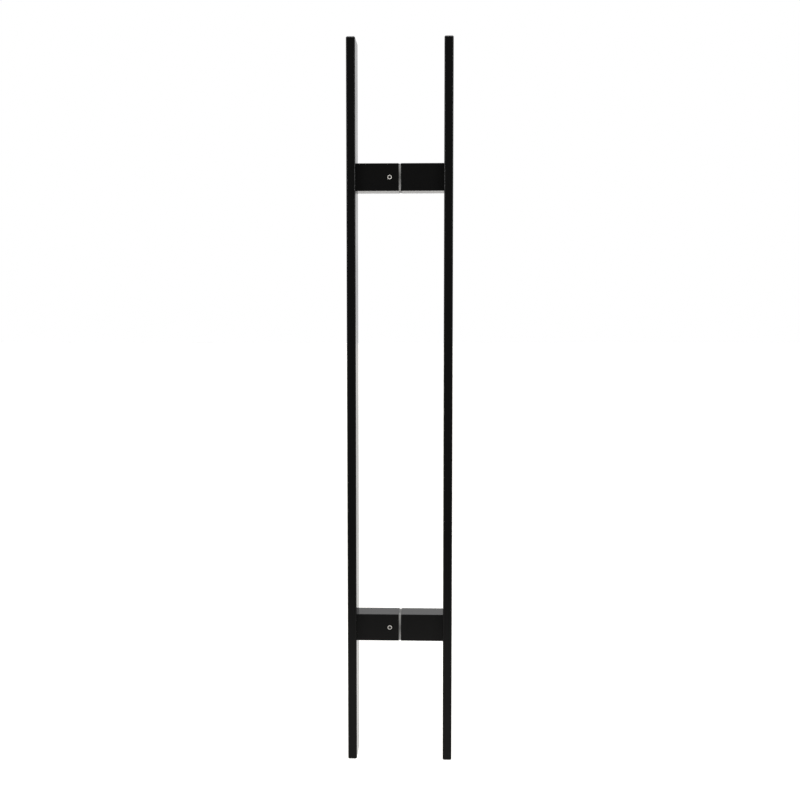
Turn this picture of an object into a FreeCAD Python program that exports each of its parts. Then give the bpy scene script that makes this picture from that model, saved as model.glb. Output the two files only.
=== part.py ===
# A ladder pull for a door: two handles fixed back to back, each a flat bar on two square posts.
#
# Frame: +Z runs up along the bars and +X along the door's normal. The origin is the middle of
# the pair, where the pads of the two handles meet. The left handle is the one that is clamped:
# its posts slip over turned stubs, and a grub screw in each post bites in the stub's groove.
# A bolt through each stub draws it against the facing post of the right handle.
#
# Each piece is drawn in a frame of its own, outward from the door along +X, and then placed.
# A left piece is turned half round about Z. All sizes are in millimetres.

import FreeCAD, Part
import os
import Sketcher

# Driving dimensions: alias, value, meaning
DIMENSIONS = [
    ("bar_length", 800, "overall height of each bar"),
    ("bar_width", 40, "depth of the bar, along Y"),
    ("bar_thickness", 10, "thickness of the bar, along X"),
    ("bar_edge_radius", 1.5, "easing of the bar's long edges"),
    ("bar_end_chamfer", 1.1, "chamfer round each end of the bar"),
    ("bar_skin", 2.5, "metal left behind the bar's blind holes"),
    ("post_spacing", 500, "height between the centres of the two posts"),
    ("post_side", 30, "side of the square post"),
    ("post_length", 47, "length of the post from its pad to the bar"),
    ("post_edge_radius", 0.6, "easing of the post's long edges"),
    ("post_end_chamfer", 0.3, "chamfer round the post's door end"),
    ("pad_thickness", 1.25, "thickness of the pad between a post and the door"),
    ("pad_inset", 0.3, "step from the post's side in to the pad's side"),
    ("pad_corner_cut", 1.5, "cut across each corner of the pad"),
    ("stud_diameter", 8, "diameter of the headless stud that joins post and bar"),
    ("stud_in_post", 10, "length of the stud in the post"),
    ("stud_socket", 4, "hex socket of the stud, across flats"),
    ("stud_socket_depth", 3, "depth of the stud's hex socket"),
    ("thread_clearance", 0.05, "gap round a screw in its tapped hole, on the radius"),
    ("tap_room", 1, "free depth beyond a screw's end in a tapped hole"),
    ("stub_diameter", 18, "diameter of the turned stub that the left post slips over"),
    ("stub_length", 22, "length of the stub from the pads' meeting plane"),
    ("stub_clearance", 0.1, "gap round the stub in its post, on the radius"),
    ("bore_room", 2, "free depth behind the stub in its post"),
    ("groove_depth", 1, "depth of the stub's groove for the grub screw"),
    ("bolt_diameter", 8, "diameter of the bolt through the stub"),
    ("bolt_length", 30, "length of the bolt under its head"),
    ("bolt_head_diameter", 13, "diameter of the bolt's head"),
    ("bolt_head_height", 8, "height of the bolt's head"),
    ("bolt_socket", 6, "hex socket of the bolt, across flats"),
    ("bolt_socket_depth", 4, "depth of the bolt's hex socket"),
    ("bolt_clearance", 0.2, "gap round the bolt in the stub and pad, on the radius"),
    ("head_clearance", 0.2, "gap round the bolt's head in the stub, on the radius"),
    ("head_room", 0.5, "depth from the stub's free end to the bolt's head"),
    ("grub_diameter", 5, "diameter of the grub screw"),
    ("grub_setback", 10, "grub screw's axis from the post's door end"),
    ("grub_recess", 0.2, "depth of the grub screw's end below the post's side"),
    ("grub_face_chamfer", 0.4, "chamfer round the grub screw's outer end"),
    ("grub_tip_diameter", 1.25, "flat at the tip of the grub screw's cone"),
    ("grub_seat_gap", 0.05, "gap between the cone and the stub's groove"),
    ("grub_socket", 2.5, "hex socket of the grub screw, across flats"),
    ("grub_socket_depth", 2, "depth of the grub screw's hex socket"),
    ("grub_mouth_chamfer", 0.3, "countersink at the mouth of the grub screw's hole"),
]

# Sizes that follow from the driving ones, as expressions
BAR_CENTRE = "(dims.pad_thickness + dims.post_length + dims.bar_thickness / 2)"
POST_LEVEL = "(dims.post_spacing / 2)"
BAR_TAP_DEPTH = "(dims.bar_thickness - dims.bar_skin)"
STUD_IN_BAR = f"({BAR_TAP_DEPTH} - dims.tap_room)"
STUD_LENGTH = f"({STUD_IN_BAR} + dims.stud_in_post)"
STUD_HOLE = "(dims.stud_diameter + 2 * dims.thread_clearance)"
STUB_HOLE = "(dims.stub_diameter + 2 * dims.stub_clearance)"
BOLT_HOLE = "(dims.bolt_diameter + 2 * dims.bolt_clearance)"
BOLT_TAP = "(dims.bolt_diameter + 2 * dims.thread_clearance)"
GRUB_HOLE = "(dims.grub_diameter + 2 * dims.thread_clearance)"
BOLT_SEAT = "(dims.stub_length - dims.bolt_head_height - dims.head_room)"
BOLT_IN_POST = f"(dims.bolt_length - {BOLT_SEAT} - dims.pad_thickness)"
GROOVE_PLACE = "(dims.pad_thickness + dims.grub_setback)"
GROOVE_ROOT = "(dims.stub_diameter / 2 - dims.groove_depth)"
GRUB_TIP = f"({GROOVE_ROOT} + dims.grub_seat_gap + dims.grub_tip_diameter / 2)"
GRUB_LENGTH = f"(dims.post_side / 2 - dims.grub_recess - {GRUB_TIP})"

SIDES = {"left": -1, "right": 1}
LEVELS = {"upper": 1, "lower": -1}
HALF_TURN = 180
QUARTER_TURN = 90
FULL_TURN = 360
COUNTERSINK_ANGLE = 90
HEX_SIDES = 6
UP = FreeCAD.Vector(0, 0, 1)
ON_PLANE = 1e-6

# The numbers by which a sketch knows the ends of its items, its own axes and its origin
START, END, CENTRE = range(1, 4)
H_AXIS, V_AXIS = range(-1, -3, -1)
ORIGIN = (H_AXIS, START)

doc = FreeCAD.newDocument("ladder_pull")
dims = doc.addObject("Spreadsheet::Sheet", "dims")
for row, (alias, value, meaning) in enumerate(DIMENSIONS, start=1):
    dims.set(f"A{row}", alias)
    dims.set(f"B{row}", str(value))
    dims.setAlias(f"B{row}", alias)
    dims.set(f"C{row}", meaning)
doc.recompute()


def new_body(label):
    """A body for one sub-part."""
    body = doc.addObject("PartDesign::Body", label)
    body.Label = label
    return body


def signed(sign, expression):
    """The expression, turned negative for a negative sign."""
    return expression if sign > 0 else f"-{expression}"


def place(body, turn, x="0", y="0", z="0"):
    """Turn a body about Z by so many degrees and bind its place to expressions."""
    body.Placement.Rotation = FreeCAD.Rotation(UP, turn)
    for axis, expression in zip("xyz", (x, y, z)):
        body.setExpression(f"Placement.Base.{axis}", expression)


def turn_of(side):
    """Left pieces face the other way."""
    return HALF_TURN if side == "left" else 0


def height_of(level):
    """The height of a post's centre."""
    return signed(LEVELS[level], POST_LEVEL)


def new_sketch(body, name, role, offset="0"):
    """A sketch on one of the body's origin planes, moved along that plane's normal."""
    plane = next(item for item in body.Origin.OriginFeatures if item.Role == role)
    sketch = body.newObject("Sketcher::SketchObject", name)
    sketch.AttachmentSupport = [(plane, "")]
    sketch.MapMode = "FlatFace"
    sketch.setExpression("AttachmentOffset.Base.z", offset)
    return sketch


def number(sketch, expression):
    """What an expression comes to, for a sketch's first drawing."""
    return float(sketch.evalExpression(expression))


def bind(sketch, kind, ends, expression):
    """Add a constraint whose value follows an expression."""
    index = sketch.addConstraint(Sketcher.Constraint(kind, *ends, number(sketch, expression)))
    sketch.setExpression(f"Constraints[{index}]", expression)


def add_outline(sketch, points):
    """Straight lines round the points, closed."""
    count = len(points)
    lines = [Part.LineSegment(points[i], points[(i + 1) % count]) for i in range(count)]
    first = sketch.GeometryCount
    sketch.addGeometry(lines, False)
    names = [first + i for i in range(count)]
    for i, line in enumerate(names):
        sketch.addConstraint(Sketcher.Constraint("Coincident", line, END, names[(i + 1) % count], START))
    return names


def add_rectangle(sketch, width, height):
    """A rectangle centred on the sketch's origin."""
    half_width = number(sketch, width) / 2
    half_height = number(sketch, height) / 2
    signs = [(-1, -1), (1, -1), (1, 1), (-1, 1)]
    lines = add_outline(sketch, [FreeCAD.Vector(a * half_width, b * half_height) for a, b in signs])
    for line, kind in zip(lines, ("Horizontal", "Vertical", "Horizontal", "Vertical")):
        sketch.addConstraint(Sketcher.Constraint(kind, line))
    sketch.addConstraint(Sketcher.Constraint("Symmetric", lines[0], START, lines[2], START, *ORIGIN))
    bind(sketch, "DistanceX", (lines[0], START, lines[0], END), width)
    bind(sketch, "DistanceY", (lines[1], START, lines[1], END), height)


def add_circle(sketch, diameter, x="0", y="0"):
    """A circle at a place that is zero or positive along each sketch axis."""
    centre = FreeCAD.Vector(number(sketch, x), number(sketch, y))
    radius = number(sketch, diameter) / 2
    circle = sketch.addGeometry(Part.Circle(centre, UP, radius), False)
    bind(sketch, "Diameter", (circle,), diameter)
    pin_point(sketch, circle, CENTRE, x, y)
    return circle


def mirror_circle(sketch, circle):
    """A like circle on the other side of the sketch's origin."""
    shape = sketch.Geometry[circle]
    twin = sketch.addGeometry(Part.Circle(shape.Center * -1, shape.Axis, shape.Radius), False)
    sketch.addConstraint(Sketcher.Constraint("Equal", circle, twin))
    sketch.addConstraint(Sketcher.Constraint("Symmetric", circle, CENTRE, twin, CENTRE, *ORIGIN))


def pin_point(sketch, item, end, x, y):
    """Hold a point at two expressions, on an axis where one is zero."""
    for kind, axis, expression in (("DistanceX", V_AXIS, x), ("DistanceY", H_AXIS, y)):
        if expression == "0":
            sketch.addConstraint(Sketcher.Constraint("PointOnObject", item, end, axis))
        else:
            bind(sketch, kind, (*ORIGIN, item, end), expression)


def add_profile(sketch, corners):
    """A closed half section; each corner is an expression along the axis and one out from it."""
    points = [FreeCAD.Vector(number(sketch, along), number(sketch, out)) for along, out in corners]
    for line, (along, out) in zip(add_outline(sketch, points), corners):
        pin_point(sketch, line, START, along, out)


def add_hexagon(sketch, across_flats):
    """A regular hexagon round the sketch's origin, with a corner on the first axis."""
    circle = add_circle(sketch, f"2 * {across_flats} / sqrt(3)")
    sketch.setConstruction(circle, True)
    radius = sketch.Geometry[circle].Radius
    corner = FreeCAD.Vector(radius, 0, 0)
    step = FULL_TURN / HEX_SIDES
    turns = [FreeCAD.Rotation(UP, step * i) for i in range(HEX_SIDES)]
    lines = add_outline(sketch, [turn.multVec(corner) for turn in turns])
    for line in lines:
        sketch.addConstraint(Sketcher.Constraint("PointOnObject", line, START, circle))
    for line in lines[1:]:
        sketch.addConstraint(Sketcher.Constraint("Equal", lines[0], line))
    sketch.addConstraint(Sketcher.Constraint("PointOnObject", lines[0], START, H_AXIS))


def pad(body, sketch, length, both_ways=False):
    """Extrude a sketch along its normal, or half each way."""
    feature = body.newObject("PartDesign::Pad", "pad")
    feature.Profile = sketch
    feature.setExpression("Length", length)
    if both_ways:
        feature.SideType = "Symmetric"
    doc.recompute()
    return feature


def revolve(body, sketch):
    """Turn a half section round the sketch's first axis."""
    feature = body.newObject("PartDesign::Revolution", "revolution")
    feature.Profile = sketch
    feature.ReferenceAxis = (sketch, ["H_Axis"])
    feature.Angle = FULL_TURN
    doc.recompute()


def must_shrink(feature, before):
    """Stop if a cut took nothing away."""
    if feature.Shape.Volume >= before:
        raise RuntimeError(f"{feature.Name} cuts nothing")


def drill(body, sketch, diameter, depth, backwards=False, mouth=None):
    """Sink a flat-bottomed hole at each circle of a sketch, with a countersink at its mouth if asked."""
    doc.recompute()
    before = body.Shape.Volume
    feature = body.newObject("PartDesign::Hole", "hole")
    feature.Profile = sketch
    feature.DepthType = "Dimension"
    feature.DrillPoint = "Flat"
    feature.Reversed = backwards
    feature.setExpression("Diameter", diameter)
    feature.setExpression("Depth", depth)
    if mouth:
        feature.HoleCutType = "Countersink"
        feature.HoleCutCustomValues = True
        feature.HoleCutCountersinkAngle = COUNTERSINK_ANGLE
        feature.setExpression("HoleCutDiameter", f"{diameter} + 2 * {mouth}")
    doc.recompute()
    must_shrink(feature, before)


def cut_socket(body, end, across_flats, depth):
    """Sink a hex socket in the end of a screw that lies along X."""
    sketch = new_sketch(body, "socket", "YZ_Plane", end)
    add_hexagon(sketch, across_flats)
    doc.recompute()
    before = body.Shape.Volume
    feature = body.newObject("PartDesign::Pocket", "pocket")
    feature.Profile = sketch
    feature.setExpression("Length", depth)
    doc.recompute()
    must_shrink(feature, before)


def edge_names(shape, wanted):
    """The names of the edges for which wanted is true."""
    return [f"Edge{i}" for i, edge in enumerate(shape.Edges, start=1) if wanted(edge)]


def along_x(edge):
    """True for an edge that runs along X."""
    box = edge.BoundBox
    return box.YLength < ON_PLANE and box.ZLength < ON_PLANE


def along_z(edge):
    """True for an edge that runs along Z."""
    box = edge.BoundBox
    return box.XLength < ON_PLANE and box.YLength < ON_PLANE


def across_z(edge):
    """True for an edge that lies flat, as round the end of a bar."""
    return edge.BoundBox.ZLength < ON_PLANE


def on_door_end(edge):
    """True for an edge that lies in the plane where a piece begins."""
    return abs(edge.BoundBox.XMin) < ON_PLANE and edge.BoundBox.XLength < ON_PLANE


def ease(body, base, kind, size, wanted):
    """Fillet or chamfer the chosen edges of a feature."""
    feature = body.newObject(f"PartDesign::{kind}", kind.lower())
    feature.Base = (base, edge_names(base.Shape, wanted))
    feature.setExpression("Radius" if kind == "Fillet" else "Size", size)
    doc.recompute()
    return feature


def make_bar(side):
    """A solid flat bar with eased edges and a blind tapped hole behind each post."""
    body = new_body(f"{side}_bar")
    section = new_sketch(body, "section", "XY_Plane")
    add_rectangle(section, "dims.bar_thickness", "dims.bar_width")
    blank = pad(body, section, "dims.bar_length", both_ways=True)
    eased = ease(body, blank, "Fillet", "dims.bar_edge_radius", along_z)
    ease(body, eased, "Chamfer", "dims.bar_end_chamfer", across_z)
    holes = new_sketch(body, "holes", "YZ_Plane", "-dims.bar_thickness / 2")
    upper = add_circle(holes, STUD_HOLE, y=POST_LEVEL)
    mirror_circle(holes, upper)
    drill(body, holes, STUD_HOLE, BAR_TAP_DEPTH, backwards=True)
    place(body, turn_of(side), x=signed(SIDES[side], BAR_CENTRE))
    return body


def make_post(side, level):
    """A square post, tapped for its stud at the bar and open to the fixing at the door."""
    body = new_body(f"{side}_post_{level}")
    section = new_sketch(body, "section", "YZ_Plane")
    add_rectangle(section, "dims.post_side", "dims.post_side")
    blank = pad(body, section, "dims.post_length")
    eased = ease(body, blank, "Fillet", "dims.post_edge_radius", along_x)
    ease(body, eased, "Chamfer", "dims.post_end_chamfer", on_door_end)
    bar_end = new_sketch(body, "stud_hole", "YZ_Plane", "dims.post_length")
    add_circle(bar_end, STUD_HOLE)
    drill(body, bar_end, STUD_HOLE, "dims.stud_in_post + dims.tap_room")
    door_end = new_sketch(body, "fixing_hole", "YZ_Plane")
    if side == "left":
        add_circle(door_end, STUB_HOLE)
        bore_depth = "dims.stub_length - dims.pad_thickness + dims.bore_room"
        drill(body, door_end, STUB_HOLE, bore_depth, backwards=True)
        grub_side = new_sketch(body, "grub_hole", "XZ_Plane", "-dims.post_side / 2")
        add_circle(grub_side, GRUB_HOLE, x="dims.grub_setback")
        mouth = "dims.grub_mouth_chamfer"
        drill(body, grub_side, GRUB_HOLE, "dims.post_side / 2", backwards=True, mouth=mouth)
    else:
        add_circle(door_end, BOLT_TAP)
        drill(body, door_end, BOLT_TAP, f"{BOLT_IN_POST} + dims.tap_room", backwards=True)
    place(body, turn_of(side), signed(SIDES[side], "dims.pad_thickness"), z=height_of(level))
    return body


def make_pad(side, level):
    """A thin square pad with clipped corners and a hole for what passes through: stub or bolt."""
    body = new_body(f"{side}_pad_{level}")
    section = new_sketch(body, "section", "YZ_Plane")
    pad_side = "(dims.post_side - 2 * dims.pad_inset)"
    add_rectangle(section, pad_side, pad_side)
    add_circle(section, STUB_HOLE if side == "left" else BOLT_HOLE)
    blank = pad(body, section, "dims.pad_thickness")
    ease(body, blank, "Chamfer", "dims.pad_corner_cut", along_x)
    place(body, turn_of(side), z=height_of(level))
    return body


def make_post_stud(side, level):
    """A headless stud across the joint of post and bar, with its hex socket in the bar."""
    body = new_body(f"{side}_post_stud_{level}")
    section = new_sketch(body, "section", "XY_Plane")
    radius = "dims.stud_diameter / 2"
    add_profile(section, [
        ("0", "0"),
        ("0", radius),
        (STUD_LENGTH, radius),
        (STUD_LENGTH, "0"),
    ])
    revolve(body, section)
    cut_socket(body, STUD_LENGTH, "dims.stud_socket", "dims.stud_socket_depth")
    inner_end = "(dims.pad_thickness + dims.post_length - dims.stud_in_post)"
    place(body, turn_of(side), signed(SIDES[side], inner_end), z=height_of(level))
    return body


def make_clamp_stub(level):
    """A turned stub: counterbored for the bolt's head, and grooved for the grub screw's cone."""
    body = new_body(f"clamp_stub_{level}")
    section = new_sketch(body, "section", "XY_Plane")
    radius = "dims.stub_diameter / 2"
    counterbore = "dims.bolt_head_diameter / 2 + dims.head_clearance"
    add_profile(section, [
        ("0", f"{BOLT_HOLE} / 2"),
        ("0", radius),
        (f"{GROOVE_PLACE} - dims.groove_depth", radius),
        (GROOVE_PLACE, GROOVE_ROOT),
        (f"{GROOVE_PLACE} + dims.groove_depth", radius),
        ("dims.stub_length", radius),
        ("dims.stub_length", counterbore),
        (BOLT_SEAT, counterbore),
        (BOLT_SEAT, f"{BOLT_HOLE} / 2"),
    ])
    revolve(body, section)
    place(body, HALF_TURN, z=height_of(level))
    return body


def make_through_bolt(level):
    """A socket-head bolt, seated in the stub and tapped into the right post."""
    body = new_body(f"through_bolt_{level}")
    section = new_sketch(body, "section", "XY_Plane")
    radius = "dims.bolt_diameter / 2"
    head_radius = "dims.bolt_head_diameter / 2"
    head_end = "(dims.bolt_length + dims.bolt_head_height)"
    add_profile(section, [
        ("0", "0"),
        ("0", radius),
        ("dims.bolt_length", radius),
        ("dims.bolt_length", head_radius),
        (head_end, head_radius),
        (head_end, "0"),
    ])
    revolve(body, section)
    cut_socket(body, head_end, "dims.bolt_socket", "dims.bolt_socket_depth")
    place(body, HALF_TURN, f"dims.bolt_length - {BOLT_SEAT}", z=height_of(level))
    return body


def make_grub_screw(level):
    """A grub screw with a cone point, just below the face of the left post."""
    body = new_body(f"grub_screw_{level}")
    section = new_sketch(body, "section", "XY_Plane")
    radius = "dims.grub_diameter / 2"
    tip_radius = "dims.grub_tip_diameter / 2"
    add_profile(section, [
        ("0", "0"),
        ("0", tip_radius),
        (f"{radius} - {tip_radius}", radius),
        (f"{GRUB_LENGTH} - dims.grub_face_chamfer", radius),
        (GRUB_LENGTH, f"{radius} - dims.grub_face_chamfer"),
        (GRUB_LENGTH, "0"),
    ])
    revolve(body, section)
    cut_socket(body, GRUB_LENGTH, "dims.grub_socket", "dims.grub_socket_depth")
    place(body, -QUARTER_TURN, f"-{GROOVE_PLACE}", f"-{GRUB_TIP}", height_of(level))
    return body


def make_all():
    """Every sub-part of the pair."""
    bodies = []
    for side in SIDES:
        bodies.append(make_bar(side))
        for level in LEVELS:
            bodies.append(make_post(side, level))
            bodies.append(make_pad(side, level))
            bodies.append(make_post_stud(side, level))
    for level in LEVELS:
        bodies.append(make_clamp_stub(level))
        bodies.append(make_through_bolt(level))
        bodies.append(make_grub_screw(level))
    return bodies


def check(bodies):
    """Stop on any failed object, or on a sub-part that isn't one valid solid."""
    for item in doc.Objects:
        if "Invalid" in item.State or "Error" in item.State:
            raise RuntimeError(f"{item.Label} failed: {item.State}")
    for body in bodies:
        shape = body.Shape
        if shape.isNull() or not shape.isValid() or len(shape.Solids) != 1:
            raise RuntimeError(f"{body.Label} is not one valid solid")


sub_parts = make_all()
doc.recompute()
check(sub_parts)
os.makedirs("parts", exist_ok=True)
for sub_part in sub_parts:
    sub_part.Shape.exportStep(f"parts/{sub_part.Label}.step")
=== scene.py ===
"""Looks for a ladder pull: a pair of satin black handles, back to back, in a white studio.

The bars and the posts are the CAD solids with a coat of black. Screws, stubs and pads are rebuilt
with the detail that their CAD solids leave out: threads, knurls, chamfers and softened edges.
Lengths are in metres, in the frame of the CAD model: +Z up along the bars, +X along the door's normal.
"""

import math

import bmesh
import bpy
from mathutils import Matrix, Vector


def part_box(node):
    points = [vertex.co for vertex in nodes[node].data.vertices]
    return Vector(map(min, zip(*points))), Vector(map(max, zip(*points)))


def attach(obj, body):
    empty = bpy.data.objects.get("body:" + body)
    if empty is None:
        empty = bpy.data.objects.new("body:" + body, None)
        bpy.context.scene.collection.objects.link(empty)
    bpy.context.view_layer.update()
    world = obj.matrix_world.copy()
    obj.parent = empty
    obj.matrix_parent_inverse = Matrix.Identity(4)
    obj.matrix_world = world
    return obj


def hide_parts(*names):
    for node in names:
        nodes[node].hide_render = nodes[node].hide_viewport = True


MM = 0.001
QUARTER_TURN = math.tau / 4
SIDES = ("left", "right")
LEVELS = ("upper", "lower")

# The way out from the door on each side, the way that the grub screws face, and the way pieces are drawn
OUTWARD = {"left": (-1, 0, 0), "right": (1, 0, 0)}
GRUB_SIDE = (0, -1, 0)
DRAWN_ALONG = Vector((1, 0, 0))

# Screw threads: pitch, and the depth, crest and root as shares of the pitch
M5_PITCH = 0.8 * MM
M8_PITCH = 1.25 * MM
THREAD_DEPTH = 0.61
THREAD_CREST = 0.125
THREAD_ROOT = 0.25
STEPS_PER_PITCH = 8

# Points round a turned piece, in sixes so that a hexagon's corners fall on points
ROUND_POINTS = 48
HEAD_POINTS = 96
POINTS_PER_KNURL = 3
HEX_SIDES = 6

# Screws; sockets are measured across flats
GRUB_TURNS = {"upper": 0.0, "lower": math.radians(20)}
GRUB_TIP_RADIUS = 0.625 * MM
GRUB_FACE_CHAMFER = 0.4 * MM
GRUB_SOCKET = 2.5 * MM
GRUB_SOCKET_DEPTH = 2.0 * MM
GRUB_MOUTH = 0.3 * MM
STUD_CHAMFER = 0.8 * MM
STUD_SOCKET = 4.0 * MM
STUD_SOCKET_DEPTH = 3.0 * MM
BOLT_DIAMETER = 8.0 * MM
BOLT_HEAD_HEIGHT = 8.0 * MM
BOLT_CHAMFER = 0.9 * MM
BOLT_PLAIN_SHANK = 3.0 * MM
BOLT_SOCKET = 6.0 * MM
BOLT_SOCKET_DEPTH = 4.0 * MM
HEAD_CHAMFER = 0.8 * MM
HEAD_SKIRT = 0.3 * MM
KNURL_DEPTH = 0.15 * MM
SOCKET_CHAMFER = 0.12 * MM
SOCKET_RINGS = 4

# The cone that a drill leaves in a socket: its depth and its blunt tip, as shares of the socket's radius
DRILL_POINT = 0.3
DRILL_TIP = 0.02

# Turned stubs; bore and counterbore are radii
STUB_CHAMFER = 0.6 * MM
STUB_GROOVE_DEPTH = 1.0 * MM
STUB_BORE = 4.2 * MM
STUB_COUNTERBORE = 6.7 * MM
STUB_SEAT = 13.5 * MM
STUB_BREAK = 0.25 * MM

# Pads; holes are radii
PAD_HOLES = {"left": 9.1 * MM, "right": 4.2 * MM}
PAD_CORNER_RADIUS = 1.5 * MM
PAD_EDGE_RADIUS = 0.22 * MM
PAD_POINTS = 96
PAD_EDGE_STEPS = 4

SMOOTH_ANGLE = math.radians(32)

# Noise: levels of detail, and the middle range that its values keep to
FINE_DETAIL = 2.0
NOISE_DETAIL = 3.0
CLOUD_DETAIL = 4.0
NOISE_LOW = 0.3
NOISE_HIGH = 0.7

# Looks: tones run from dark to pale and roughness from low to high; a grain, cloud or stain is noise
# in cells to the metre; a bump is a height in metres and a strength
COAT_TONES = ((0.0032, 0.0032, 0.0032), (0.0048, 0.0048, 0.0047))
COAT_ROUGHNESS = (0.15, 0.2)
COAT_GRAIN = 2600
COAT_CLOUD = 14
COAT_BUMP = (0.000012, 0.35)
COAT_IOR = 1.16
GRUB_STEEL_TONES = ((0.72, 0.70, 0.66), (0.82, 0.80, 0.77))
GRUB_STEEL_ROUGHNESS = (0.68, 0.80)
GRUB_STEEL_PITCH = 0.00009
FIXING_STEEL_TONES = ((0.50, 0.50, 0.50), (0.66, 0.66, 0.65))
FIXING_STEEL_ROUGHNESS = (0.28, 0.40)
FIXING_STEEL_PITCH = 0.00012
STEEL_CLOUD = 700
STEEL_BUMP = (0.000006, 0.4)
OXIDE_TONES = ((0.020, 0.018, 0.016), (0.045, 0.041, 0.037))
OXIDE_ROUGHNESS = (0.55, 0.75)
OXIDE_STAIN = 1800
OXIDE_BUMP = (0.00001, 0.3)
# Pad tones and reach: the pad's pale tone, reached towards its corners, is painted light standing in for
# light that comes through the plastic
PAD_TONES = ((0.084, 0.083, 0.081), (0.215, 0.215, 0.21))
PAD_TONE_RANGE = (0.2, 1.0)
PAD_PAINTED_GLOW_REACH = 14.0 * MM
PAD_MOTTLE = 0.25
PAD_ROUGHNESS = (0.48, 0.60)
PAD_CLOUD = 420
PAD_GRAIN = 3000
PAD_BUMP = (0.000015, 0.4)
PAD_IOR = 1.5

# Camera, fitted to the edges of the bars and posts in the photograph
CAMERA_PLACE = Vector((0.0482, -1.3188, 0.1044))
CAMERA_TILT = math.radians(-4.306)
CAMERA_TURN = math.radians(2.109)
CAMERA_LENS = 53.25

# Floor and backdrop; the backdrop's dim side is a share of white, and it ends between two angles
FLOOR_LEVEL = -0.75
FLOOR_REACH = 30.0
FLOOR_FRONT = -2.0
FLOOR_COLOUR = (0.88, 0.866, 0.84, 1)
FLOOR_ROUGHNESS = 0.9
FLOOR_LIFT = 0.36
STUDIO_LIGHT = 0.4
CAMERA_SIDE = 0.25
CAMERA_SIDE_FADE = (math.radians(25), math.radians(16))
WHITE = (1, 1, 1, 1)
WARM_WHITE = (1.0, 0.985, 0.965, 1)

# Lamps
OVERHEAD_STRENGTH = 1.6
OVERHEAD_SPREAD = math.radians(25)
OVERHEAD_DIRECTION = Vector((0, -0.15, -1))
SOFTBOX_PLACES = {"front_left": (-2.0, -1.0, 0.6), "front_right": (2.0, -1.0, 0.6)}
SOFTBOX_SIZE = 0.6
SOFTBOX_POWER = 28

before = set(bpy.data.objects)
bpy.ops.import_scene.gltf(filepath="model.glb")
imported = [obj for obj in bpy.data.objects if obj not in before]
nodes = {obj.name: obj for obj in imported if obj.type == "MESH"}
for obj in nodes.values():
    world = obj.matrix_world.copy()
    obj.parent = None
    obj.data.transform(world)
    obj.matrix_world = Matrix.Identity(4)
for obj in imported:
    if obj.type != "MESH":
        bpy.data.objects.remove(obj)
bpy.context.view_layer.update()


# Node materials


def math_node(tree, operation, *values):
    """A maths node on outputs or plain numbers."""
    node = tree.nodes.new("ShaderNodeMath")
    node.operation = operation
    for socket, value in zip(node.inputs, values):
        if isinstance(value, (int, float)):
            socket.default_value = value
        else:
            tree.links.new(value, socket)
    return node.outputs["Value"]


def map_node(tree, source, old_range, new_range, interpolation="LINEAR"):
    """Carry numbers over from one range to another, and keep them inside it."""
    node = tree.nodes.new("ShaderNodeMapRange")
    node.interpolation_type = interpolation
    for name, value in zip(("From Min", "From Max", "To Min", "To Max"), (*old_range, *new_range)):
        node.inputs[name].default_value = value
    tree.links.new(source, node.inputs["Value"])
    return node.outputs["Result"]


class Material:
    """A node material round one principled shader, with short calls for the nodes it needs."""

    def __init__(self, name):
        self.data = bpy.data.materials.new(name)
        self.data.use_nodes = True
        self.tree = self.data.node_tree
        self.shader = self.tree.nodes["Principled BSDF"]
        self.place = self.add("ShaderNodeTexCoord").outputs["Object"]

    def add(self, kind, **settings):
        """A new node with these settings."""
        node = self.tree.nodes.new(kind)
        for key, value in settings.items():
            setattr(node, key, value)
        return node

    def link(self, source, target):
        """Join an output to an input."""
        self.tree.links.new(source, target)

    def set(self, **values):
        """Constants go straight on the shader's sockets."""
        for key, value in values.items():
            self.shader.inputs[key].default_value = value

    def noise(self, scale, detail=NOISE_DETAIL):
        """Noise over the surface, its scale in cells to the metre."""
        node = self.add("ShaderNodeTexNoise")
        node.inputs["Scale"].default_value = scale
        node.inputs["Detail"].default_value = detail
        self.link(self.place, node.inputs["Vector"])
        return node.outputs["Fac"]

    def turning_marks(self, pitch):
        """Fine rings round the X axis of a turned piece, as a tool leaves them on a face."""
        parts = self.add("ShaderNodeSeparateXYZ")
        self.link(self.place, parts.inputs["Vector"])
        radial = self.add("ShaderNodeCombineXYZ")
        self.link(parts.outputs["Y"], radial.inputs["Y"])
        self.link(parts.outputs["Z"], radial.inputs["Z"])
        length = self.add("ShaderNodeVectorMath", operation="LENGTH")
        self.link(radial.outputs["Vector"], length.inputs[0])
        along = math_node(self.tree, "ADD", length.outputs["Value"], parts.outputs["X"])
        rings = self.add("ShaderNodeTexNoise", noise_dimensions="1D")
        rings.inputs["Scale"].default_value = 1 / pitch
        rings.inputs["Detail"].default_value = FINE_DETAIL
        self.link(along, rings.inputs["W"])
        return rings.outputs["Fac"]

    def colour(self, source, tones, tone_range=(NOISE_LOW, NOISE_HIGH)):
        """Colour the surface between two tones by a pattern."""
        node = self.add("ShaderNodeValToRGB")
        for element, position, tone in zip(node.color_ramp.elements, tone_range, tones):
            element.position = position
            element.color = (*tone, 1)
        self.link(source, node.inputs["Fac"])
        self.link(node.outputs["Color"], self.shader.inputs["Base Color"])

    def roughen(self, source, limits):
        """Vary the roughness between two limits by a pattern."""
        varied = map_node(self.tree, source, (NOISE_LOW, NOISE_HIGH), limits)
        self.link(varied, self.shader.inputs["Roughness"])

    def bump(self, source, height, strength):
        """Raise the surface by so many metres where the pattern is 1."""
        node = self.add("ShaderNodeBump")
        node.inputs["Distance"].default_value = height
        node.inputs["Strength"].default_value = strength
        self.link(source, node.inputs["Height"])
        self.link(node.outputs["Normal"], self.shader.inputs["Normal"])


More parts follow.
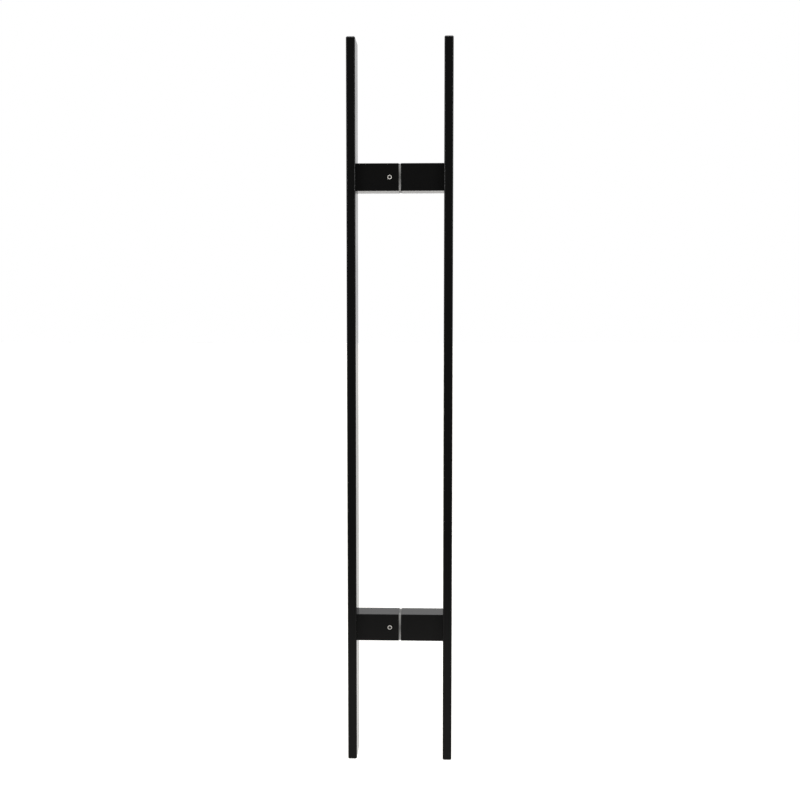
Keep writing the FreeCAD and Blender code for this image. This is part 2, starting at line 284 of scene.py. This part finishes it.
def black_coat():
    """Satin black coat: a fine even grain, and a gloss that varies a little over the hand's width."""
    made = Material("black_coat")
    grain = made.noise(COAT_GRAIN, FINE_DETAIL)
    cloud = made.noise(COAT_CLOUD, CLOUD_DETAIL)
    made.colour(grain, COAT_TONES)
    made.roughen(cloud, COAT_ROUGHNESS)
    made.bump(grain, *COAT_BUMP)
    made.set(IOR=COAT_IOR)
    return made.data


def turned_steel(name, tones, roughness, pitch):
    """Bare steel with the fine rings that turning leaves."""
    made = Material(name)
    marks = made.turning_marks(pitch)
    made.colour(marks, tones)
    made.roughen(made.noise(STEEL_CLOUD), roughness)
    made.bump(marks, *STEEL_BUMP)
    made.set(Metallic=1.0)
    return made.data


def socket_oxide():
    """The dull dark skin that forging and oil leave inside a socket."""
    made = Material("socket_oxide")
    stain = made.noise(OXIDE_STAIN)
    made.colour(stain, OXIDE_TONES)
    made.roughen(stain, OXIDE_ROUGHNESS)
    made.bump(stain, *OXIDE_BUMP)
    return made.data


def pad_plastic():
    """Grey moulded plastic, mottled and dull, with painted light: paler towards the corners, standing in
    for light that comes through the plastic.
    """
    made = Material("door_pad")
    mottle = made.noise(PAD_CLOUD, CLOUD_DETAIL)
    parts = made.add("ShaderNodeSeparateXYZ")
    made.link(made.place, parts.inputs["Vector"])
    # Painted light: paler towards the corners, for light that comes through the plastic; the mottle laid
    # over it is the plastic's own
    across = [math_node(made.tree, "ABSOLUTE", parts.outputs[axis]) for axis in ("Y", "Z")]
    nearer = math_node(made.tree, "MINIMUM", *across)
    corner = map_node(made.tree, nearer, (0.0, PAD_PAINTED_GLOW_REACH), (0.0, 1.0))
    mottle_and_painted_glow = math_node(made.tree, "MULTIPLY_ADD", mottle, PAD_MOTTLE, corner)
    made.colour(mottle_and_painted_glow, PAD_TONES, PAD_TONE_RANGE)
    made.roughen(mottle, PAD_ROUGHNESS)
    made.bump(made.noise(PAD_GRAIN, FINE_DETAIL), *PAD_BUMP)
    made.set(IOR=PAD_IOR)
    return made.data


# Mesh pieces


def skin(name, rings, loop=False, dark_rings=0):
    """A mesh over rings of equally many points; the ends are closed to a point, or joined in a loop.

    The faces between the last dark_rings rings take the piece's second material.
    """
    mesh = bmesh.new()
    rows = [[mesh.verts.new(point) for point in ring] for ring in rings]
    count = len(rows[0])
    pairs = list(zip(rows, rows[1:]))
    if loop:
        pairs.append((rows[-1], rows[0]))
    dark_from = len(pairs) - dark_rings
    for index, (first, second) in enumerate(pairs):
        for i in range(count):
            j = (i + 1) % count
            face = mesh.faces.new((first[i], first[j], second[j], second[i]))
            face.material_index = int(index > dark_from)
    if not loop:
        for row in (rows[0], rows[-1]):
            centre = mesh.verts.new(sum((vert.co for vert in row), Vector()) / count)
            for i in range(count):
                face = mesh.faces.new((centre, row[i], row[(i + 1) % count]))
                face.material_index = int(row is rows[-1] and dark_rings > 0)
    bmesh.ops.recalc_face_normals(mesh, faces=mesh.faces)
    data = bpy.data.meshes.new(name)
    mesh.to_mesh(data)
    mesh.free()
    data.polygons.foreach_set("use_smooth", [True] * len(data.polygons))
    data.set_sharp_from_angle(angle=SMOOTH_ANGLE)
    piece = bpy.data.objects.new(name, data)
    bpy.context.scene.collection.objects.link(piece)
    return piece


def circle(x, radius, count):
    """A ring round the X axis; the radius is one number or a function of the angle."""
    ring = []
    for i in range(count):
        angle = math.tau * i / count
        reach = radius(angle) if callable(radius) else radius
        ring.append(Vector((x, reach * math.cos(angle), reach * math.sin(angle))))
    return ring


def hexagon(across_flats):
    """The radius of a hexagon by angle, with a corner at zero."""
    step = math.tau / HEX_SIDES
    return lambda angle: across_flats / 2 / math.cos(angle % step - step / 2)


def threaded(x, pitch, major):
    """The radius of a screw thread by angle, at one place along the screw."""
    depth = THREAD_DEPTH * pitch

    def radius(angle):
        phase = (x / pitch - angle / math.tau) % 1.0
        slope = (abs(2 * phase - 1) - THREAD_CREST) / (1 - THREAD_CREST - THREAD_ROOT)
        return major - depth * min(max(slope, 0.0), 1.0)

    return radius


def thread_rings(start, end, pitch, limit, major, count):
    """Rings of a thread between two places, kept under limit, the outline of the blank by place."""
    steps = max(1, round((end - start) / pitch * STEPS_PER_PITCH))
    rings = []
    for i in range(steps + 1):
        x = start + (end - start) * i / steps
        cut = threaded(x, pitch, major)
        top = limit(x)
        rings.append(circle(x, lambda angle: min(cut(angle), top), count))
    return rings


def socket_rings(face, across_flats, depth, count, mouth=SOCKET_CHAMFER):
    """Rings of a hex socket sunk from a face, with a small countersink and a drill's cone."""
    corner = across_flats / math.sqrt(3)
    hex_radius = hexagon(across_flats)
    bottom = face - depth
    point = corner * DRILL_POINT
    return [
        circle(face, corner + mouth, count),
        circle(face - mouth, hex_radius, count),
        circle(bottom, hex_radius, count),
        circle(bottom - point * (1 - DRILL_TIP), corner * DRILL_TIP, count),
    ]


def seat_of(node, direction):
    """Where a piece drawn along +X goes so that it fills a CAD node's box in that direction."""
    low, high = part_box(node)
    axis = Vector(direction)
    extent = high - low
    length = abs(extent.dot(axis))
    across = (extent - axis * extent.dot(axis)).length / math.sqrt(2)
    start = (low + high) / 2 - axis * length / 2
    turn = DRAWN_ALONG.rotation_difference(axis).to_matrix().to_4x4()
    return Matrix.Translation(start) @ turn, length, across


def dress(piece, node, seat, materials):
    """Put a piece in its place on the frame, in place of its CAD node."""
    piece.matrix_world = seat
    for material in materials:
        piece.data.materials.append(material)
    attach(piece, "root")
    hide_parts(node)


def make_grub_screw(level, materials):
    """A grub screw with a cone point, its hex socket towards the camera."""
    node = f"grub_screw_{level}"
    seat, length, diameter = seat_of(node, GRUB_SIDE)
    radius = diameter / 2

    def limit(x):
        return min(radius, GRUB_TIP_RADIUS + x, radius - GRUB_FACE_CHAMFER + length - x)

    rings = [circle(0, GRUB_TIP_RADIUS, ROUND_POINTS)]
    rings += thread_rings(0, length, M5_PITCH, limit, radius, ROUND_POINTS)[1:]
    rings += socket_rings(length, GRUB_SOCKET, GRUB_SOCKET_DEPTH, ROUND_POINTS, GRUB_MOUTH)
    piece = skin(f"threaded_{node}", rings, dark_rings=SOCKET_RINGS)
    dress(piece, node, seat @ Matrix.Rotation(GRUB_TURNS[level], 4, "X"), materials)


def make_post_stud(side, level, materials):
    """A headless stud, threaded from end to end, with its socket in the bar."""
    node = f"{side}_post_stud_{level}"
    seat, length, diameter = seat_of(node, OUTWARD[side])
    radius = diameter / 2

    def limit(x):
        return min(radius, radius - STUD_CHAMFER + min(x, length - x))

    rings = thread_rings(0, length, M8_PITCH, limit, radius, ROUND_POINTS)
    rings += socket_rings(length, STUD_SOCKET, STUD_SOCKET_DEPTH, ROUND_POINTS)
    piece = skin(f"threaded_{node}", rings, dark_rings=SOCKET_RINGS)
    dress(piece, node, seat, materials)


def make_through_bolt(level, materials):
    """A socket-head bolt with a knurled head, which lies in the left post."""
    node = f"through_bolt_{level}"
    seat, length, head_diameter = seat_of(node, OUTWARD["left"])
    radius = BOLT_DIAMETER / 2
    head_radius = head_diameter / 2
    under_head = length - BOLT_HEAD_HEIGHT
    thread_end = under_head - BOLT_PLAIN_SHANK

    def limit(x):
        return min(radius, radius - BOLT_CHAMFER + x)

    def knurl(angle):
        ridge = round(angle / math.tau * HEAD_POINTS) % POINTS_PER_KNURL
        return head_radius - (KNURL_DEPTH if ridge == 0 else 0)

    plain = head_radius - KNURL_DEPTH
    rings = thread_rings(0, thread_end, M8_PITCH, limit, radius, HEAD_POINTS)
    rings += [
        circle(thread_end + M8_PITCH / 2, radius, HEAD_POINTS),
        circle(under_head, radius, HEAD_POINTS),
        circle(under_head, plain - HEAD_SKIRT, HEAD_POINTS),
        circle(under_head + HEAD_SKIRT, plain, HEAD_POINTS),
        circle(under_head + 2 * HEAD_SKIRT, knurl, HEAD_POINTS),
        circle(length - HEAD_CHAMFER - HEAD_SKIRT, knurl, HEAD_POINTS),
        circle(length - HEAD_CHAMFER, plain, HEAD_POINTS),
        circle(length, plain - HEAD_CHAMFER, HEAD_POINTS),
    ]
    rings += socket_rings(length, BOLT_SOCKET, BOLT_SOCKET_DEPTH, HEAD_POINTS)
    piece = skin(f"knurled_{node}", rings, dark_rings=SOCKET_RINGS)
    dress(piece, node, seat, materials)


def make_clamp_stub(level, material):
    """A turned stub with a V groove, a bore and a counterbore, its edges broken."""
    node = f"clamp_stub_{level}"
    seat, length, diameter = seat_of(node, OUTWARD["left"])
    radius = diameter / 2
    screw_low, screw_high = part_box(f"grub_screw_{level}")
    groove = abs((screw_low.x + screw_high.x) / 2 - seat.translation.x)
    outline = [
        (0, STUB_BORE + STUB_BREAK),
        (0, radius - STUB_CHAMFER),
        (STUB_CHAMFER, radius),
        (groove - STUB_GROOVE_DEPTH, radius),
        (groove, radius - STUB_GROOVE_DEPTH),
        (groove + STUB_GROOVE_DEPTH, radius),
        (length - STUB_CHAMFER, radius),
        (length, radius - STUB_CHAMFER),
        (length, STUB_COUNTERBORE + STUB_BREAK),
        (length - STUB_BREAK, STUB_COUNTERBORE),
        (STUB_SEAT, STUB_COUNTERBORE),
        (STUB_SEAT, STUB_BORE + STUB_BREAK),
        (STUB_SEAT - STUB_BREAK, STUB_BORE),
        (STUB_BREAK, STUB_BORE),
    ]
    rings = [circle(x, reach, HEAD_POINTS) for x, reach in outline]
    dress(skin(f"turned_{node}", rings, loop=True), node, seat, [material])


def rounded_square(half, corner):
    """The radius of a square with round corners, by angle."""
    inner = half - corner

    def radius(angle):
        lean = abs((angle + QUARTER_TURN / 2) % QUARTER_TURN - QUARTER_TURN / 2)
        flat = half / math.cos(lean)
        if flat * math.sin(lean) <= inner:
            return flat
        middle = inner * math.sqrt(2)
        off = QUARTER_TURN / 2 - lean
        return middle * math.cos(off) + math.sqrt(corner**2 - (middle * math.sin(off)) ** 2)

    return radius


def make_pad(side, level, material):
    """A moulded pad: a square with round corners and a hole, every edge softened."""
    node = f"{side}_pad_{level}"
    seat, thickness, width = seat_of(node, OUTWARD[side])
    half = width / 2
    hole = PAD_HOLES[side]
    turns = [QUARTER_TURN * i / PAD_EDGE_STEPS for i in range(PAD_EDGE_STEPS + 1)]
    rings = []
    for x_end, inward in ((0, 1), (thickness, -1)):
        outer = []
        inner = []
        for turn in turns:
            pull = PAD_EDGE_RADIUS * (1 - math.sin(turn))
            x = x_end + inward * PAD_EDGE_RADIUS * (1 - math.cos(turn))
            outer.append(circle(x, rounded_square(half - pull, PAD_CORNER_RADIUS), PAD_POINTS))
            inner.append(circle(x, hole + pull, PAD_POINTS))
        rings += (inner[::-1] + outer) if inward > 0 else (outer[::-1] + inner)
    dress(skin(f"moulded_{node}", rings, loop=True), node, seat, [material])


def coat_frame(material):
    """Give the bars and posts, which stay as CAD solids, their coat."""
    for side in SIDES:
        for name in [f"{side}_bar"] + [f"{side}_post_{level}" for level in LEVELS]:
            solid = nodes[name]
            solid.data.materials.clear()
            solid.data.materials.append(material)


def make_pieces():
    """Every piece of the pair."""
    grub_look = (GRUB_STEEL_TONES, GRUB_STEEL_ROUGHNESS, GRUB_STEEL_PITCH)
    grub_steel = turned_steel("screw_steel", *grub_look)
    fixing_look = (FIXING_STEEL_TONES, FIXING_STEEL_ROUGHNESS, FIXING_STEEL_PITCH)
    fixing_steel = turned_steel("fixing_steel", *fixing_look)
    oxide = socket_oxide()
    plastic = pad_plastic()
    coat_frame(black_coat())
    for level in LEVELS:
        make_grub_screw(level, [grub_steel, oxide])
        make_clamp_stub(level, fixing_steel)
        make_through_bolt(level, [fixing_steel, oxide])
        for side in SIDES:
            make_post_stud(side, level, [fixing_steel, oxide])
            make_pad(side, level, plastic)


# Studio


def ray_switches(tree):
    """Two switches: 1 for the camera's own rays, and 1 for those and for what gloss and glass show."""
    path = tree.nodes.new("ShaderNodeLightPath")
    camera = path.outputs["Is Camera Ray"]
    glossy = path.outputs["Is Glossy Ray"]
    through = path.outputs["Is Transmission Ray"]
    seen = math_node(tree, "MAXIMUM", camera, math_node(tree, "MAXIMUM", glossy, through))
    return camera, seen


def make_floor():
    """A wide pale floor below the pair, with a small glow for what is seen of it, to keep it white."""
    mesh = bmesh.new()
    corners = [
        (-FLOOR_REACH, FLOOR_FRONT),
        (FLOOR_REACH, FLOOR_FRONT),
        (FLOOR_REACH, FLOOR_REACH),
        (-FLOOR_REACH, FLOOR_REACH),
    ]
    mesh.faces.new([mesh.verts.new((x, y, FLOOR_LEVEL)) for x, y in corners])
    data = bpy.data.meshes.new("floor")
    mesh.to_mesh(data)
    mesh.free()
    floor = bpy.data.objects.new("floor", data)
    bpy.context.scene.collection.objects.link(floor)
    material = bpy.data.materials.new("floor")
    material.use_nodes = True
    tree = material.node_tree
    shader = tree.nodes["Principled BSDF"]
    shader.inputs["Base Color"].default_value = FLOOR_COLOUR
    shader.inputs["Roughness"].default_value = FLOOR_ROUGHNESS
    shader.inputs["Specular IOR Level"].default_value = 0.0
    shader.inputs["Emission Color"].default_value = WHITE
    _, seen = ray_switches(tree)
    lift = math_node(tree, "MULTIPLY", seen, FLOOR_LIFT)
    tree.links.new(lift, shader.inputs["Emission Strength"])
    data.materials.append(material)


def make_world():
    """A white backdrop for the camera, gloss and glass; the light that it sheds is soft and even.

    Reflections find it dim only where the photograph's camera stands.
    """
    world = bpy.data.worlds.new("studio")
    bpy.context.scene.world = world
    world.use_nodes = True
    tree = world.node_tree
    light = tree.nodes["Background"]
    light.inputs["Color"].default_value = WARM_WHITE
    light.inputs["Strength"].default_value = STUDIO_LIGHT
    backdrop = tree.nodes.new("ShaderNodeBackground")
    backdrop.inputs["Color"].default_value = WHITE
    place = tree.nodes.new("ShaderNodeTexCoord")
    parts = tree.nodes.new("ShaderNodeSeparateXYZ")
    tree.links.new(place.outputs["Generated"], parts.inputs["Vector"])
    edge, middle = (-math.cos(angle) for angle in CAMERA_SIDE_FADE)
    fade = map_node(tree, parts.outputs["Y"], (middle, edge), (CAMERA_SIDE, 1.0), "SMOOTHSTEP")
    camera, seen = ray_switches(tree)
    strength = math_node(tree, "MAXIMUM", camera, fade)
    tree.links.new(strength, backdrop.inputs["Strength"])
    choose = tree.nodes.new("ShaderNodeMixShader")
    tree.links.new(seen, choose.inputs["Fac"])
    tree.links.new(light.outputs["Background"], choose.inputs[1])
    tree.links.new(backdrop.outputs["Background"], choose.inputs[2])
    tree.links.new(choose.outputs["Shader"], tree.nodes["World Output"].inputs["Surface"])


def add_lamp(name, data, direction):
    """A lamp that shines in a direction."""
    lamp = bpy.data.objects.new(name, data)
    lamp.rotation_euler = direction.to_track_quat("-Z", "Y").to_euler()
    bpy.context.scene.collection.objects.link(lamp)
    return lamp


def make_lamps():
    """A broad soft light overhead, a little behind, and a softbox at each side that faces the pair."""
    sun = bpy.data.lights.new("overhead", "SUN")
    sun.energy = OVERHEAD_STRENGTH
    sun.angle = OVERHEAD_SPREAD
    add_lamp("overhead", sun, OVERHEAD_DIRECTION)
    for name, place in SOFTBOX_PLACES.items():
        softbox = bpy.data.lights.new(name, "AREA")
        softbox.size = SOFTBOX_SIZE
        softbox.energy = SOFTBOX_POWER
        add_lamp(name, softbox, -Vector(place)).location = place


def make_camera():
    """The photograph's camera."""
    data = bpy.data.cameras.new("camera")
    data.lens = CAMERA_LENS
    camera = bpy.data.objects.new("camera", data)
    camera.location = CAMERA_PLACE
    camera.rotation_euler = (QUARTER_TURN + CAMERA_TILT, 0, CAMERA_TURN)
    bpy.context.scene.collection.objects.link(camera)
    bpy.context.scene.camera = camera


make_pieces()
make_floor()
make_world()
make_lamps()
make_camera()
bpy.context.scene.view_settings.view_transform = "Standard"
